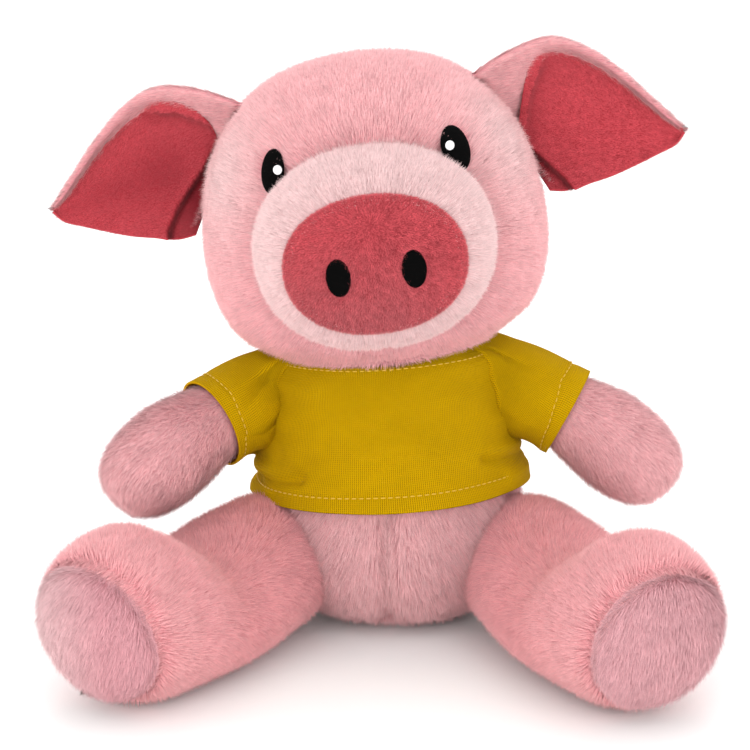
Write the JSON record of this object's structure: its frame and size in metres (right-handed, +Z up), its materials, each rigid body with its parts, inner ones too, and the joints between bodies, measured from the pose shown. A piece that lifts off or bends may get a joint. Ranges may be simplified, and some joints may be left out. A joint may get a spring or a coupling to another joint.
{
  "type": "plush pig",
  "caption": "Seated stuffed pig with a large snout, leaf-shaped ears, splayed legs and a knitted T-shirt; head, ears, arms, legs and tail flex at their seams.",
  "frame": {"origin": "on the floor under the middle of the seat's flat bottom", "axes": "+Z up; the pig faces -Y, so its own right side is at -X"},
  "size_m": [0.2498, 0.2099, 0.2327],
  "materials": {
    "pink_plush": "combed long-pile plush",
    "belly_plush": "combed long-pile plush",
    "pale_plush": "combed long-pile plush",
    "sole_plush": "combed long-pile plush",
    "snout_minky": "short-pile minky",
    "ear_minky": "short-pile minky",
    "black_thread": "satin-stitched embroidery",
    "white_thread": "satin-stitched embroidery",
    "knit": "single-jersey knit",
    "fibre": "loose polyester fibre",
    "pellet_bag": "woven lining"
  },
  "bodies": {
    "torso": {"body_skin": "belly_plush", "body_filling": "fibre", "pellet_pouch": "pellet_bag", "shirt_front": "knit", "shirt_back": "knit", "sleeve_right": "knit", "sleeve_left": "knit"},
    "neck": {"neck_filling": "fibre"},
    "head": {"head_skin": "pink_plush", "head_filling": "fibre", "muzzle_band": "pale_plush", "muzzle_filling": "fibre", "snout_disc": "snout_minky", "nostril_right": "black_thread", "nostril_left": "black_thread", "eye_right": "black_thread", "eye_left": "black_thread", "eye_highlight_right": "white_thread", "eye_highlight_left": "white_thread"},
    "ear_right": {"ear_back_right": "pink_plush", "ear_lining_right": "ear_minky"},
    "ear_left": {"ear_back_left": "pink_plush", "ear_lining_left": "ear_minky"},
    "arm_right": {"arm_skin_right": "pink_plush", "arm_filling_right": "fibre"},
    "arm_left": {"arm_skin_left": "pink_plush", "arm_filling_left": "fibre"},
    "leg_right": {"leg_skin_right": "pink_plush", "leg_filling_right": "fibre", "sole_right": "sole_plush"},
    "leg_left": {"leg_skin_left": "pink_plush", "leg_filling_left": "fibre", "sole_left": "sole_plush"},
    "tail": {"tail": "pink_plush"}
  },
  "joints": [
    {"name": "head_turn", "type": "hinge", "parent": "torso", "child": "neck", "pos_m": [-0.00281, -0.004, 0.11214], "axis": [-0.0576, 0, 0.9983], "range_deg": [-20, 20], "stiffness_Nm_per_rad": 1},
    {"name": "head_nod", "type": "hinge", "parent": "neck", "child": "head", "pos_m": [-0.00281, -0.004, 0.11214], "axis": [0.9983, 0, 0.0576], "range_deg": [-8, 4], "stiffness_Nm_per_rad": 3},
    {"name": "ear_right_flop", "type": "hinge", "parent": "head", "child": "ear_right", "pos_m": [-0.06056, -0.004, 0.20629], "axis": [-0.3377, 0, -0.9413], "range_deg": [-12, 12], "stiffness_Nm_per_rad": 0.2},
    {"name": "ear_left_flop", "type": "hinge", "parent": "head", "child": "ear_left", "pos_m": [0.02971, -0.004, 0.21769], "axis": [0.5611, 0, -0.8277], "range_deg": [-12, 12], "stiffness_Nm_per_rad": 0.2},
    {"name": "arm_right_lift", "type": "hinge", "parent": "torso", "child": "arm_right", "pos_m": [-0.05011, -0.004, 0.08984], "axis": [0, 1, 0], "range_deg": [-1.5, 30], "stiffness_Nm_per_rad": 0.6, "deforming": ["sleeve_right"]},
    {"name": "arm_left_lift", "type": "hinge", "parent": "torso", "child": "arm_left", "pos_m": [0.04175, -0.004, 0.09514], "axis": [0, -1, 0], "range_deg": [-8, 30], "stiffness_Nm_per_rad": 0.6, "deforming": ["sleeve_left"]},
    {"name": "leg_right_spread", "type": "hinge", "parent": "torso", "child": "leg_right", "pos_m": [-0.048, -0.016, 0.0265], "axis": [0, 0, -1], "range_deg": [-6, 20], "stiffness_Nm_per_rad": 1},
    {"name": "leg_left_spread", "type": "hinge", "parent": "torso", "child": "leg_left", "pos_m": [0.048, -0.016, 0.0265], "axis": [0, 0, 1], "range_deg": [-6, 20], "stiffness_Nm_per_rad": 1},
    {"name": "tail_wag", "type": "hinge", "parent": "torso", "child": "tail", "pos_m": [-0.00065, 0.05036, 0.03], "axis": [0, 0, 1], "range_deg": [-20, 20], "stiffness_Nm_per_rad": 0.02}
  ]
}
